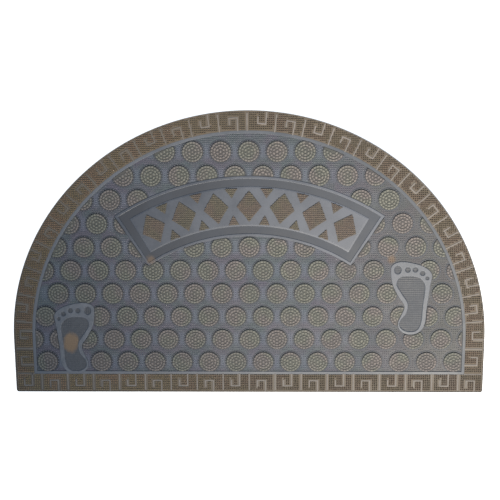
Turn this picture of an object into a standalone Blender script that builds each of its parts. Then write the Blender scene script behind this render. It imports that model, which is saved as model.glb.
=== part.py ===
# Half-round moulded rubber doormat: one solid with round pads, a key-pattern border,
# two footprints and a curved banner, lying flat with its straight edge along X.
# Outlines are drawn with Y measured from the straight edge, and the solids are placed
# so that the origin lies under the middle of the mat.

import math

import bmesh
import bpy
from mathutils import Matrix, Vector

# Outline, in metres
MAT_WIDTH = 0.750
MAT_DEPTH = 0.450
SIDE_HEIGHT = 0.088
CORNER_RADIUS = 0.004
CORNER_STEPS = 3
RIM_STEPS = 66
RIM_FINE_STEPS = 2560

# Heights above the underside
RECESS_HEIGHT = 0.0040
GROUND_HEIGHT = 0.0046
SMOOTH_HEIGHT = 0.0052
FOOT_HEIGHT = 0.0054
KEY_FLOOR = 0.0053
TIP_HEIGHT = 0.0070
CUT_TOP = 0.0090
ROOT_HEIGHT = 0.0032

# Floors and roots that would share a plane lie apart by this much
LEVEL_STEP = 0.0001

# Border band, measured in from the outline, and the smooth strip inside it
BAND_RIM = 0.0300
BAND_BOTTOM = 0.0298
STRIP_WIDTH = 0.0050
TUCK = 0.0010

# Key pattern: line width, gap left at the outer edge, and the hooks' depths in from the outline
KEY_LINE = 0.0027
KEY_GAP = 0.0035
KEY_FOOT_NEAR = 0.0107
KEY_TIP_NEAR = 0.0090
KEY_FOOT_FAR = 0.0194
KEY_TIP_FAR = 0.0208
HOOK_START = 0.0155
HOOK_LENGTH = 0.0130
RUN_OUT = 0.0020

# Key cells along the rim, from the bottom right corner, and along the bottom edge
RIM_FIRST = 0.0300
RIM_SECOND = 0.0725
RIM_CELLS = 26
BOTTOM_START = 0.3768
BOTTOM_CELL = 0.04174
BOTTOM_CELLS = 18

# Round pads in staggered rows
PAD_DIAMETER = 0.0322
PAD_SIDES = 12
PAD_PITCH = 0.0433
PAD_ROW = 0.0374
PAD_SHIFT = 0.0024
PAD_FIRST_ROW = 0.0510
PAD_ROWS = 11
PAD_LEAST_SHARE = 0.10
PAD_OVERLAP = 0.0003
PROBE_RINGS = (0.4, 0.75, 0.95)
PROBE_TURNS = 12

# Curved banner, a ring sector: centre, radii and half angle
BANNER_X = 0.0025
BANNER_Y = -0.0355
BANNER_INNER = 0.2910
BANNER_OUTER = 0.3845
BANNER_HALF_ANGLE = math.radians(33.15)
BANNER_STEPS = 22
RIDGE_WIDTH = 0.0038
CHANNEL_WIDTH = 0.0115

# Lozenges along the banner's panel, with half lozenges between them
LOZENGES = 7
LOZENGE_PITCH = 0.0515
LOZENGE_WIDTH = 0.0400
LOZENGE_LENGTH = 0.0500
HALF_WIDTH = 0.0180
HALF_LENGTH = 0.0150
HALF_MARGIN = 0.0030

# Right foot: height above the heel, then the big-toe side and the little-toe side
FOOT_PAD = (
    (0.0015, -0.007, 0.008),
    (0.0095, -0.018, 0.019),
    (0.022, -0.020, 0.024),
    (0.036, -0.014, 0.025),
    (0.048, -0.011, 0.026),
    (0.064, -0.021, 0.028),
    (0.082, -0.030, 0.030),
    (0.100, -0.033, 0.032),
    (0.1125, -0.032, 0.018),
    (0.119, -0.022, -0.006),
)
FOOT_SOLE = (
    (0.0065, -0.006, 0.007),
    (0.013, -0.016, 0.014),
    (0.024, -0.016, 0.017),
    (0.036, -0.007, 0.018),
    (0.052, -0.005, 0.019),
    (0.068, -0.015, 0.021),
    (0.082, -0.023, 0.021),
    (0.092, -0.020, 0.014),
    (0.0955, -0.012, 0.004),
)

# Toes: place across, place up, width, length
TOES = (
    (-0.0220, 0.1062, 0.0110, 0.0135),
    (-0.0062, 0.1065, 0.0082, 0.0082),
    (0.0055, 0.1065, 0.0080, 0.0078),
    (0.0170, 0.1008, 0.0078, 0.0074),
    (0.0246, 0.0930, 0.0054, 0.0058),
)
TOE_SIDES = 8
RIGHT_FOOT = (0.257, 0.0950)
LEFT_FOOT = (-0.277, 0.0287)
FOOT_RECESS_INSET = 0.0025

# Points closer than this, at a cap's rim or where two cuts nearly meet, become one
MERGE_DISTANCE = 0.00003
FLAT_ANGLE = 0.001

RUBBER_COLOUR = (0.145, 0.128, 0.112, 1.0)
RUBBER_ROUGHNESS = 0.78


# Scene
def clear_scene():
    for item in list(bpy.data.objects):
        bpy.data.objects.remove(item, do_unlink=True)


def new_collection(name):
    group = bpy.data.collections.new(name)
    bpy.context.scene.collection.children.link(group)
    return group


def as_guide(item):
    item.hide_render = True
    item.display_type = "WIRE"
    return item


# Solids
def prism(name, outlines, bottom, top, group):
    curve = bpy.data.curves.new(name, "CURVE")
    curve.dimensions = "2D"
    curve.fill_mode = "BOTH"
    curve.extrude = (top - bottom) / 2
    for outline in outlines:
        spline = curve.splines.new("POLY")
        spline.points.add(len(outline) - 1)
        for slot, point in zip(spline.points, outline):
            slot.co = (point[0], point[1], 0.0, 1.0)
        spline.use_cyclic_u = True
    drawn = bpy.data.objects.new(name, curve)
    drawn.location = (0.0, -MAT_DEPTH / 2, (top + bottom) / 2)
    group.objects.link(drawn)
    return mesh_from_curve(drawn, group)


# The caps of a filled curve are loose until their points are welded; each then becomes one face
def mesh_from_curve(drawn, group):
    bpy.context.view_layer.update()
    evaluated = drawn.evaluated_get(bpy.context.evaluated_depsgraph_get())
    mesh = bpy.data.meshes.new_from_object(evaluated)
    name = drawn.name
    place = drawn.matrix_world.copy()
    bpy.data.objects.remove(drawn, do_unlink=True)
    solid = bpy.data.objects.new(name, mesh)
    solid.matrix_world = place
    shape = bmesh.new()
    shape.from_mesh(mesh)
    bmesh.ops.remove_doubles(shape, verts=shape.verts, dist=MERGE_DISTANCE)
    bmesh.ops.recalc_face_normals(shape, faces=shape.faces)
    bmesh.ops.dissolve_limit(shape, angle_limit=FLAT_ANGLE, verts=shape.verts, edges=shape.edges)
    shape.to_mesh(mesh)
    shape.free()
    group.objects.link(solid)
    return solid


def combine(target, other, operation):
    boolean = target.modifiers.new(other.name, "BOOLEAN")
    boolean.operation = operation
    boolean.solver = "EXACT"
    boolean.object = other


# Outline of the mat
def rim_point(angle, inset):
    across = MAT_WIDTH / 2
    up = MAT_DEPTH - SIDE_HEIGHT
    edge = Vector((across * math.cos(angle), SIDE_HEIGHT + up * math.sin(angle)))
    outward = Vector((math.cos(angle) / across, math.sin(angle) / up)).normalized()
    return edge - outward * inset


def rim_arc(inset):
    return [rim_point(math.pi * i / RIM_STEPS, inset) for i in range(RIM_STEPS + 1)]


def mat_outline():
    points = rim_arc(0.0)
    for side in (-1, 1):
        centre = Vector((side * (MAT_WIDTH / 2 - CORNER_RADIUS), CORNER_RADIUS))
        for i in range(CORNER_STEPS + 1):
            points.append(centre + CORNER_RADIUS * corner_direction(side, i / CORNER_STEPS))
    return points


# From the side wall round to the bottom edge on the left, and back up on the right
def corner_direction(side, part):
    turn = math.radians(180 + 90 * part) if side < 0 else math.radians(270 + 90 * part)
    return Vector((math.cos(turn), math.sin(turn)))


def inner_outline(rim_inset, bottom_inset):
    left = Vector((-MAT_WIDTH / 2 + rim_inset, bottom_inset))
    right = Vector((MAT_WIDTH / 2 - rim_inset, bottom_inset))
    return rim_arc(rim_inset) + [left, right]


def ground_outline(overlap=0.0):
    rim_inset = BAND_RIM + STRIP_WIDTH - overlap
    bottom_inset = BAND_BOTTOM + STRIP_WIDTH - overlap
    return inner_outline(rim_inset, bottom_inset)


# Key pattern, drawn by distance along an edge and depth in from it
def rim_lengths():
    turns = [math.pi * i / RIM_FINE_STEPS for i in range(RIM_FINE_STEPS + 1)]
    lengths = [0.0]
    for before, after in zip(turns, turns[1:]):
        stride = rim_point(after, 0.0) - rim_point(before, 0.0)
        lengths.append(lengths[-1] + stride.length)
    return lengths


RIM_LENGTHS = rim_lengths()
RIM_LENGTH = 2 * SIDE_HEIGHT + RIM_LENGTHS[-1]


def on_rim(along, depth):
    if along < SIDE_HEIGHT:
        return Vector((MAT_WIDTH / 2 - depth, along))
    if along > RIM_LENGTH - SIDE_HEIGHT:
        return Vector((-MAT_WIDTH / 2 + depth, RIM_LENGTH - along))
    reached = sum(1 for length in RIM_LENGTHS if length < along - SIDE_HEIGHT)
    return rim_point(math.pi * reached / RIM_FINE_STEPS, depth)


def on_bottom(along, depth):
    return Vector((BOTTOM_START - along, depth))


def key_bar(place, along, band):
    half = KEY_LINE / 2
    corners = ((-half, KEY_GAP), (half, KEY_GAP), (half, band + RUN_OUT), (-half, band + RUN_OUT))
    return [place(along + across, depth) for across, depth in corners]


# A J-shaped line: leg, foot and tip, its root at the strip or at the outer edge
def key_hook(place, along, direction, band, from_strip):
    half = KEY_LINE / 2
    root = band + RUN_OUT if from_strip else -RUN_OUT
    foot = KEY_FOOT_NEAR if from_strip else KEY_FOOT_FAR
    tip = KEY_TIP_FAR if from_strip else KEY_TIP_NEAR
    side = half if from_strip else -half
    corners = (
        (-half, root),
        (-half, foot - side),
        (HOOK_LENGTH + half, foot - side),
        (HOOK_LENGTH + half, tip),
        (HOOK_LENGTH - half, tip),
        (HOOK_LENGTH - half, foot + side),
        (half, foot + side),
        (half, root),
    )
    start = along + direction * HOOK_START
    return [place(start + direction * across, depth) for across, depth in corners]


def rim_key():
    pitch = (RIM_LENGTH - 2 * RIM_SECOND) / RIM_CELLS
    bars = [RIM_FIRST] + [RIM_SECOND + pitch * i for i in range(RIM_CELLS + 1)]
    bars.append(RIM_LENGTH - RIM_FIRST)
    marks = [key_bar(on_rim, along, BAND_RIM) for along in bars]
    for i, along in enumerate(bars[:-2]):
        marks.append(key_hook(on_rim, along, 1, BAND_RIM, i % 2 == 0))
    marks.append(key_hook(on_rim, bars[-1], -1, BAND_RIM, True))
    return marks


def bottom_key():
    marks = []
    for i in range(BOTTOM_CELLS):
        along = BOTTOM_CELL * i
        if i > 0:
            marks.append(key_bar(on_bottom, along, BAND_BOTTOM))
        marks.append(key_hook(on_bottom, along, 1, BAND_BOTTOM, i % 2 == 1))
    return marks


# Banner
def sector(inset):
    inner = BANNER_INNER + inset
    outer = BANNER_OUTER - inset
    half = BANNER_HALF_ANGLE - inset / ((BANNER_INNER + BANNER_OUTER) / 2)
    turns = [half * (1 - 2 * i / BANNER_STEPS) for i in range(BANNER_STEPS + 1)]
    upper = [on_banner(turn, outer) for turn in turns]
    lower = [on_banner(turn, inner) for turn in reversed(turns)]
    return upper + lower


def on_banner(turn, radius):
    return Vector((BANNER_X + radius * math.sin(turn), BANNER_Y + radius * math.cos(turn)))


# A lozenge, or half of one where it reaches only inwards or only outwards
def diamond(turn, radius, width, inward, outward):
    centre = on_banner(turn, radius)
    up = on_banner(turn, 1.0) - on_banner(turn, 0.0)
    across = Vector((up.y, -up.x)) * width / 2
    corners = [centre - across, centre + across]
    if outward > 0:
        corners.insert(1, centre + up * outward)
    if inward > 0:
        corners.append(centre - up * inward)
    return corners


def lozenges():
    middle = (BANNER_INNER + BANNER_OUTER) / 2
    pitch = LOZENGE_PITCH / middle
    reach = (BANNER_OUTER - BANNER_INNER) / 2 - RIDGE_WIDTH - CHANNEL_WIDTH - HALF_MARGIN
    marks = []
    for i in range(LOZENGES):
        turn = pitch * (i - (LOZENGES - 1) / 2)
        marks.append(diamond(turn, middle, LOZENGE_WIDTH, LOZENGE_LENGTH / 2, LOZENGE_LENGTH / 2))
        if i < LOZENGES - 1:
            between = turn + pitch / 2
            marks.append(diamond(between, middle + reach, HALF_WIDTH, HALF_LENGTH, 0.0))
            marks.append(diamond(between, middle - reach, HALF_WIDTH, 0.0, HALF_LENGTH))
    return marks


# Footprints; a point is added half-way along each side, on the cubic through the four nearest
def smooth_loop(points):
    loop = []
    for i, point in enumerate(points):
        before = points[i - 1]
        after = points[(i + 1) % len(points)]
        beyond = points[(i + 2) % len(points)]
        loop.append(point)
        loop.append((9 * (point + after) - before - beyond) / 16)
    return loop


def foot_loop(sections):
    little_side = [Vector((outer, height)) for height, inner, outer in sections]
    big_side = [Vector((inner, height)) for height, inner, outer in reversed(sections)]
    return smooth_loop(little_side + big_side)


def toe_loop(across, up, width, length):
    turns = [2 * math.pi * (i + 0.5) / TOE_SIDES for i in range(TOE_SIDES)]
    return [Vector((across + width / 2 * math.cos(t), up + length / 2 * math.sin(t))) for t in turns]


def shrink(loop, inset):
    moved = []
    for i, point in enumerate(loop):
        along = (loop[(i + 1) % len(loop)] - loop[i - 1]).normalized()
        moved.append(point + Vector((-along.y, along.x)) * inset)
    return moved


# The left foot is the right one mirrored
def place_foot(loop, side):
    where = RIGHT_FOOT if side > 0 else LEFT_FOOT
    return [Vector((where[0] + side * point.x, where[1] + point.y)) for point in loop]


def feet(inset):
    return [place_foot(shrink(foot_loop(FOOT_PAD), inset), side) for side in (1, -1)]


def foot_plates():
    holes = [foot_loop(FOOT_SOLE)] + [toe_loop(*toe) for toe in TOES]
    loops = [foot_loop(FOOT_PAD)] + holes
    return [place_foot(loop, side) for side in (1, -1) for loop in loops]


# Round pads
def inside(outline, point):
    crossings = 0
    for i, start in enumerate(outline):
        end = outline[i - 1]
        if (start[1] > point[1]) != (end[1] > point[1]):
            reach = (point[1] - start[1]) / (end[1] - start[1])
            crossings += point[0] < start[0] + reach * (end[0] - start[0])
    return crossings % 2 == 1


def share_showing(centre, ground, islands):
    probes = [centre]
    for ring in PROBE_RINGS:
        for i in range(PROBE_TURNS):
            turn = 2 * math.pi * i / PROBE_TURNS
            probes.append(centre + Vector((math.cos(turn), math.sin(turn))) * ring * PAD_DIAMETER / 2)
    shown = sum(inside(ground, p) and not any(inside(island, p) for island in islands) for p in probes)
    return shown / len(probes)


def pad_centres():
    ground = ground_outline()
    islands = [sector(0.0)] + feet(0.0)
    columns = int(MAT_WIDTH / PAD_PITCH / 2) + 1
    centres = []
    for row in range(PAD_ROWS):
        half_step = 0.5 if row % 2 == 0 else 0.0
        for column in range(-columns, columns + 1):
            across = PAD_SHIFT + PAD_PITCH * (column + half_step)
            centre = Vector((across, PAD_FIRST_ROW + PAD_ROW * row))
            if share_showing(centre, ground, islands) > PAD_LEAST_SHARE:
                centres.append(centre)
    return centres


def make_pads(bottom, group):
    shape = bmesh.new()
    for centre in pad_centres():
        where = Matrix.Translation((centre.x, centre.y, (TIP_HEIGHT + bottom) / 2))
        bmesh.ops.create_cone(shape, cap_ends=True, segments=PAD_SIDES, radius1=PAD_DIAMETER / 2,
                              radius2=PAD_DIAMETER / 2, depth=TIP_HEIGHT - bottom, matrix=where)
    mesh = bpy.data.meshes.new("pads")
    shape.to_mesh(mesh)
    shape.free()
    pads = bpy.data.objects.new("pads", mesh)
    pads.location.y = -MAT_DEPTH / 2
    group.objects.link(pads)
    return pads


# Pads end at the smooth strip, the banner and the footprints, a hair over their edges
def clipped_pads(bottom, group):
    pads = make_pads(bottom, group)
    field = prism("pad_field", [ground_outline(PAD_OVERLAP)], 0.0, CUT_TOP, group)
    islands = [sector(PAD_OVERLAP)] + feet(PAD_OVERLAP)
    combine(pads, as_guide(field), "INTERSECT")
    combine(pads, as_guide(prism("pad_islands", islands, 0.0, CUT_TOP, group)), "DIFFERENCE")
    return pads


# Rubber
def rubber():
    material = bpy.data.materials.new("rubber")
    material.use_nodes = True
    shader = material.node_tree.nodes["Principled BSDF"]
    shader.inputs["Base Color"].default_value = RUBBER_COLOUR
    shader.inputs["Roughness"].default_value = RUBBER_ROUGHNESS
    shader.inputs["Metallic"].default_value = 0.0
    return material


# The slab is cut down to its field, then each raised shape is rooted in it at its own depth
def build():
    clear_scene()
    parts = new_collection("half_round_doormat")
    guides = new_collection("mat_guides")
    mat = prism("mat", [mat_outline()], 0.0, TIP_HEIGHT, parts)

    field = prism("field", [inner_outline(BAND_RIM, BAND_BOTTOM)], GROUND_HEIGHT, CUT_TOP, guides)
    combine(mat, as_guide(field), "DIFFERENCE")

    hollows = [sector(RIDGE_WIDTH / 2)] + feet(FOOT_RECESS_INSET)
    combine(mat, as_guide(prism("hollows", hollows, RECESS_HEIGHT, CUT_TOP, guides)), "DIFFERENCE")

    edges = [inner_outline(BAND_RIM - TUCK, BAND_BOTTOM - TUCK), ground_outline()]
    combine(mat, as_guide(prism("strip", edges, ROOT_HEIGHT, SMOOTH_HEIGHT, guides)), "UNION")

    frame = [sector(0.0), sector(RIDGE_WIDTH), sector(RIDGE_WIDTH + CHANNEL_WIDTH)]
    combine(mat, as_guide(prism("banner", frame, ROOT_HEIGHT - LEVEL_STEP, SMOOTH_HEIGHT, guides)), "UNION")

    plates = prism("feet", foot_plates(), ROOT_HEIGHT - 2 * LEVEL_STEP, FOOT_HEIGHT, guides)
    combine(mat, as_guide(plates), "UNION")

    combine(mat, as_guide(clipped_pads(ROOT_HEIGHT - 3 * LEVEL_STEP, guides)), "UNION")

    row = prism("lozenges", lozenges(), ROOT_HEIGHT - 4 * LEVEL_STEP, TIP_HEIGHT, guides)
    combine(mat, as_guide(row), "UNION")

    rim_marks = prism("rim_key", rim_key(), KEY_FLOOR, CUT_TOP, guides)
    combine(mat, as_guide(rim_marks), "DIFFERENCE")
    bottom_floor = KEY_FLOOR + LEVEL_STEP
    bottom_marks = prism("bottom_key", bottom_key(), bottom_floor, CUT_TOP + LEVEL_STEP, guides)
    combine(mat, as_guide(bottom_marks), "DIFFERENCE")

    tidy = mat.modifiers.new("merge_near_points", "WELD")
    tidy.merge_threshold = MERGE_DISTANCE
    mat.data.materials.append(rubber())


build()
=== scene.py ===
import math

import bmesh
import bpy
import numpy as np
from mathutils import Matrix


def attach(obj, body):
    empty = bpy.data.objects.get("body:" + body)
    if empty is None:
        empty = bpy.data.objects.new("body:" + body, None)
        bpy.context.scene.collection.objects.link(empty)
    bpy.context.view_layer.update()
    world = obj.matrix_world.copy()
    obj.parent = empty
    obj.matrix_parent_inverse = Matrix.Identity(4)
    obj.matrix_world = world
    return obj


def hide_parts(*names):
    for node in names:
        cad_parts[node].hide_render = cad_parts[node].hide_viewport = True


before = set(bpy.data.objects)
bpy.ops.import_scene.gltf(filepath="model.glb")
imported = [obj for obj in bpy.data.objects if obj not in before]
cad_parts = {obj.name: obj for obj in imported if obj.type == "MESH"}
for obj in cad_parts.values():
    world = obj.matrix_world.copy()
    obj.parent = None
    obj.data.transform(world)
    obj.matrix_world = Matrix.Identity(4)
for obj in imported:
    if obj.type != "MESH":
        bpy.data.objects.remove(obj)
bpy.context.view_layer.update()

scene = bpy.context.scene

# Half-round rubber doormat. Shapes are drawn with y from the straight edge and moved so that
# the mat's middle is at the origin. All lengths are in metres, heights above the underside.
matShape = {
    "width": 0.750,
    "depth": 0.450,
    "sideHeight": 0.088,      # straight part of the left and right side
    "cornerRadius": 0.004,
    "bandRim": 0.0300,        # border along the rim
    "bandBottom": 0.0298,     # border along the straight edge
    "stripWidth": 0.0050,
    "baseFloor": 0.0044,
    "rootHeight": 0.0030,     # where pins and plates start inside the base
}
randomPins = np.random.default_rng(11)


# faces is a list of arrays, each with one row of corner numbers a face
def putMesh(name, points, faces, finish, smooth=False, tones=None):
    mesh = bpy.data.meshes.new(name)
    placed = np.array(points, dtype=np.float32).reshape(-1, 3)
    placed[:, 1] -= matShape["depth"] / 2
    corners = np.concatenate([f.reshape(-1) for f in faces]).astype(np.int32)
    sizes = np.concatenate([np.full(len(f), f.shape[1], dtype=np.int32) for f in faces])
    starts = np.cumsum(sizes) - sizes
    mesh.vertices.add(len(placed))
    mesh.vertices.foreach_set("co", placed.reshape(-1))
    mesh.loops.add(len(corners))
    mesh.loops.foreach_set("vertex_index", corners)
    mesh.polygons.add(len(sizes))
    mesh.polygons.foreach_set("loop_start", starts.astype(np.int32))
    mesh.update(calc_edges=True)
    mesh.validate()
    mesh.polygons.foreach_set("use_smooth", np.full(len(mesh.polygons), smooth))
    if tones is not None:
        tone = mesh.attributes.new("tone", "FLOAT", "POINT")
        tone.data.foreach_set("value", np.asarray(tones, dtype=np.float32))
    mesh.materials.append(finish)
    piece = bpy.data.objects.new(name, mesh)
    scene.collection.objects.link(piece)
    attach(piece, "root")
    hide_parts("mat")
    return piece


# Points that coincide become one, then all faces are turned outwards
def weldAndTurn(piece, distance=0.00002):
    shape = bmesh.new()
    shape.from_mesh(piece.data)
    bmesh.ops.remove_doubles(shape, verts=shape.verts, dist=distance)
    bmesh.ops.recalc_face_normals(shape, faces=shape.faces)
    shape.to_mesh(piece.data)
    shape.free()


# Loops of equal length laid side by side: point (k, j) is joined to its neighbours in both ways
def loopFaces(loops, along, closedProfile):
    k = np.arange(loops if closedProfile else loops - 1)[:, None]
    j = np.arange(along)[None, :]
    nextLoop = (k + 1) % loops
    nextPoint = (j + 1) % along
    quads = np.stack(
        [k * along + j, k * along + nextPoint, nextLoop * along + nextPoint, nextLoop * along + j],
        axis=-1,
    )
    return quads.reshape(-1, 4)


# Stacks of equal rings: their sides as quads, then one face at each stack's top and one at its root
def ringFaces(stacks, rings, sides):
    base = (np.arange(stacks) * rings * sides)[:, None, None]
    k = np.arange(rings - 1)[None, :, None]
    s = np.arange(sides)[None, None, :]
    after = (s + 1) % sides
    quads = np.stack(
        [
            base + k * sides + s,
            base + k * sides + after,
            base + (k + 1) * sides + after,
            base + (k + 1) * sides + s,
        ],
        axis=-1,
    ).reshape(-1, 4)
    tops = (base[:, 0] + (rings - 1) * sides + np.arange(sides)).reshape(-1, sides)
    roots = (base[:, 0] + np.arange(sides)[::-1]).reshape(-1, sides)
    return [quads, tops, roots]


# Half ellipse x = a cos t, y = side + b sin t, moved inwards along its own normal
def rimCurve(turn, inset):
    across = matShape["width"] / 2
    up = matShape["depth"] - matShape["sideHeight"]
    normalX = np.cos(turn) / across
    normalY = np.sin(turn) / up
    length = np.hypot(normalX, normalY)
    x = across * np.cos(turn) - inset * normalX / length
    y = matShape["sideHeight"] + up * np.sin(turn) - inset * normalY / length
    return x, y


# The whole outline at one inset: rim, left side, left corner, straight edge, right corner, right side
def outlineLoop(inset, extraBottom=0.0, rimSteps=220, cornerSteps=6, edgeSteps=60):
    bottomInset = inset + extraBottom
    turn = np.linspace(0, math.pi, rimSteps)
    rimX, rimY = rimCurve(turn, inset)
    radius = max(matShape["cornerRadius"] - inset, 0.0)
    sideX = matShape["width"] / 2 - inset
    quarter = np.linspace(0, math.pi / 2, cornerSteps)
    cornerX = sideX - radius + radius * np.cos(quarter)
    cornerY = bottomInset + radius - radius * np.sin(quarter)
    edgeX = np.linspace(-sideX + radius, sideX - radius, edgeSteps)[1:-1]
    edgeY = np.full(edgeSteps - 2, bottomInset)
    x = np.concatenate([rimX, -cornerX, edgeX, cornerX[::-1]])
    y = np.concatenate([rimY, cornerY, edgeY, cornerY[::-1]])
    return np.stack([x, y], axis=-1)


# A profile of (inset, height) pairs carried round the loops that loopAt gives for an inset
def sweepProfile(profile, loopAt):
    loops = []
    for inset, height in profile:
        loop = loopAt(inset)
        loops.append(np.column_stack([loop, np.full(len(loop), height)]))
    return np.array(loops)


# A rib from its root up, over and down again; its shoulder is a list of (inset, drop) pairs
def ribProfile(start, wide, top, shoulder):
    root = matShape["rootHeight"]
    rise = [(start + inset, top - drop) for inset, drop in shoulder]
    fall = [(start + wide - inset, top - drop) for inset, drop in shoulder[::-1]]
    return [(start, root)] + rise + fall + [(start + wide, root)]


# A closed profile carried once round
def makeRing(name, profile, loopAt, finish):
    loops = sweepProfile(profile, loopAt)
    piece = putMesh(name, loops, [loopFaces(len(profile), loops.shape[1], True)], finish)
    weldAndTurn(piece)
    return piece


baseSheet = {
    "lipTop": 0.0062,
    "lipWidth": 0.0015,
    "slopeWidth": 0.0003,     # slope from the lip down to the border's floor
    "slopeFall": 0.0004,
    "edgeRound": 0.0005,
    "borderFloor": 0.0055,
    "underStrip": 0.0020,     # the border's floor ends this far under the strip
    "topInset": 0.0100,       # ring round the flat top, in from the strip
    "underInset": 0.0200,     # ring round the flat underside, in from the edge
}


def makeBaseSheet(finish):
    shape = baseSheet
    lip, wide, soft, border = shape["lipTop"], shape["lipWidth"], shape["edgeRound"], shape["borderFloor"]
    band, floor = matShape["bandRim"], matShape["baseFloor"]
    under = band + shape["underStrip"]
    profile = [
        (shape["underInset"], 0.0),
        (soft, 0.0),
        (0.0, soft),
        (0.0, lip - soft),
        (soft * 0.3, lip - soft * 0.3),
        (soft * 0.8, lip),
        (wide, lip),
        (wide + shape["slopeWidth"], lip - shape["slopeFall"]),
        (wide + shape["slopeFall"], border),
        (under, border),
        (under + shape["slopeFall"], floor),
        (band + shape["topInset"], floor),
    ]
    loops = sweepProfile(profile, outlineLoop)
    count = loops.shape[1]
    faces = loopFaces(len(profile), count, False)
    below = np.arange(count)[None, ::-1]
    above = ((len(profile) - 1) * count + np.arange(count))[None, :]
    painted = np.array([0, 0, 2, 2, 2, 2, 2, 1, 1, 1, 0, 0])   # 1 on the border, 2 on its lip
    tones = np.repeat(painted, count)
    piece = putMesh("rubberSheet", loops, [faces, below, above], finish, False, tones)
    weldAndTurn(piece)
    # Half an ellipse on a rectangle: pi / 4 * width * rim height + width * side height
    return piece


smoothStrip = {"top": 0.0057, "shoulder": [(0.0, 0.0005), (0.00015, 0.00015), (0.0005, 0.0)]}


def makeSmoothStrip(finish):
    start = matShape["bandRim"]
    lower = matShape["bandBottom"] - start
    profile = ribProfile(start, matShape["stripWidth"], smoothStrip["top"], smoothStrip["shoulder"])
    makeRing("smoothStrip", profile, lambda inset: outlineLoop(inset, lower), finish)


keyPattern = {
    "line": 0.0024,
    "edgeGap": 0.0035,
    "footNear": 0.0107,       # depth of a hook's foot near the outer edge
    "tipNear": 0.0090,
    "footFar": 0.0194,
    "tipFar": 0.0208,
    "hookStart": 0.0155,
    "hookLength": 0.0130,
    "hookRoot": 0.0014,       # where a hook starts at the outer edge
    "underStrip": 0.0010,     # bars and hooks run this far under the strip
    "rimFirst": 0.0300,
    "rimSecond": 0.0725,
    "rimCells": 26,
    "bottomStart": 0.3768,
    "bottomCell": 0.04174,
    "bottomCells": 18,
    "top": 0.0061,
    "soft": 0.0004,
}

fineTurns = np.linspace(0, math.pi, 4001)
fineRim = np.stack(rimCurve(fineTurns, 0.0), axis=-1)
fineLengths = np.concatenate([[0.0], np.cumsum(np.hypot(*np.diff(fineRim, axis=0).T))])
rimLength = 2 * matShape["sideHeight"] + fineLengths[-1]
coarse = 4                  # the nearest point is looked for in every fourth of the fine ones


# Distance along the rim from the bottom right corner and depth in from it, as x and y
def placeOnRim(marks):
    along, depth = marks[..., 0], marks[..., 1]
    side = matShape["sideHeight"]
    turn = np.interp(along - side, fineLengths, fineTurns)
    x, y = rimCurve(turn, depth)
    right = along < side
    left = along > rimLength - side
    x = np.where(right, matShape["width"] / 2 - depth, np.where(left, depth - matShape["width"] / 2, x))
    y = np.where(right, along, np.where(left, rimLength - along, y))
    return np.stack([x, y], axis=-1)


def placeOnBottom(marks):
    return np.stack([keyPattern["bottomStart"] - marks[..., 0], marks[..., 1]], axis=-1)


# Middle lines of the bars and hooks as (along, depth) points
def keyMiddles():
    shape = keyPattern
    start, length = shape["hookStart"], shape["hookLength"]

    def bars(places, band):
        line = np.array([[0.0, shape["edgeGap"]], [0.0, band + shape["underStrip"]]])
        return np.asarray(places)[:, None, None] * np.array([1.0, 0.0]) + line

    def hooks(places, ways, fromStrip, band):
        root = band + shape["underStrip"] if fromStrip else shape["hookRoot"]
        foot = shape["footNear"] if fromStrip else shape["footFar"]
        tip = shape["tipFar"] if fromStrip else shape["tipNear"]
        line = np.array([[start, root], [start, foot], [start + length, foot], [start + length, tip]])
        made = np.repeat(line[None], len(places), axis=0)
        made[:, :, 0] = np.asarray(places)[:, None] + np.asarray(ways)[:, None] * made[:, :, 0]
        return made

    pitch = (rimLength - 2 * shape["rimSecond"]) / shape["rimCells"]
    rimBars = np.concatenate(
        [
            [shape["rimFirst"]],
            shape["rimSecond"] + pitch * np.arange(shape["rimCells"] + 1),
            [rimLength - shape["rimFirst"]],
        ]
    )
    band = matShape["bandRim"]
    started = rimBars[:-2]
    fromStrip = np.append(started[0::2], rimBars[-1])
    ways = np.append(np.ones(len(started[0::2])), -1.0)
    rim = [
        bars(rimBars, band),
        hooks(fromStrip, ways, True, band),
        hooks(started[1::2], np.ones(len(started[1::2])), False, band),
    ]
    cells = shape["bottomCell"] * np.arange(shape["bottomCells"])
    low = matShape["bandBottom"]
    bottom = [
        bars(cells[1:], low),
        hooks(cells[1::2], np.ones(len(cells[1::2])), True, low),
        hooks(cells[0::2], np.ones(len(cells[0::2])), False, low),
    ]
    return rim, bottom


# Each middle line gets a rounded bar: offset each point sideways, mitred where the line turns
def barsAlong(middles, place):
    half, soft, top = keyPattern["line"] / 2, keyPattern["soft"], keyPattern["top"]
    root = matShape["rootHeight"]
    profile = np.array(
        [
            [-half, root],
            [-half, top - soft],
            [-half + soft, top],
            [half - soft, top],
            [half, top - soft],
            [half, root],
        ]
    )
    stride = np.diff(middles, axis=1)
    stride /= np.linalg.norm(stride, axis=-1, keepdims=True)
    sideways = np.stack([-stride[..., 1], stride[..., 0]], axis=-1)
    before = np.concatenate([sideways[:, :1], sideways], axis=1)
    after = np.concatenate([sideways, sideways[:, -1:]], axis=1)
    mitre = before + after
    mitre /= np.einsum("mji,mji->mj", mitre, before)[..., None]
    flat = middles[:, :, None, :] + mitre[:, :, None, :] * profile[None, None, :, :1]
    flat = place(flat)
    heights = np.broadcast_to(profile[None, None, :, 1:], flat.shape[:-1] + (1,))
    points = np.concatenate([flat, heights], axis=-1)
    quads, ends, starts = ringFaces(*points.shape[:3])
    return points.reshape(-1, 3), [quads, starts, ends]


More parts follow.
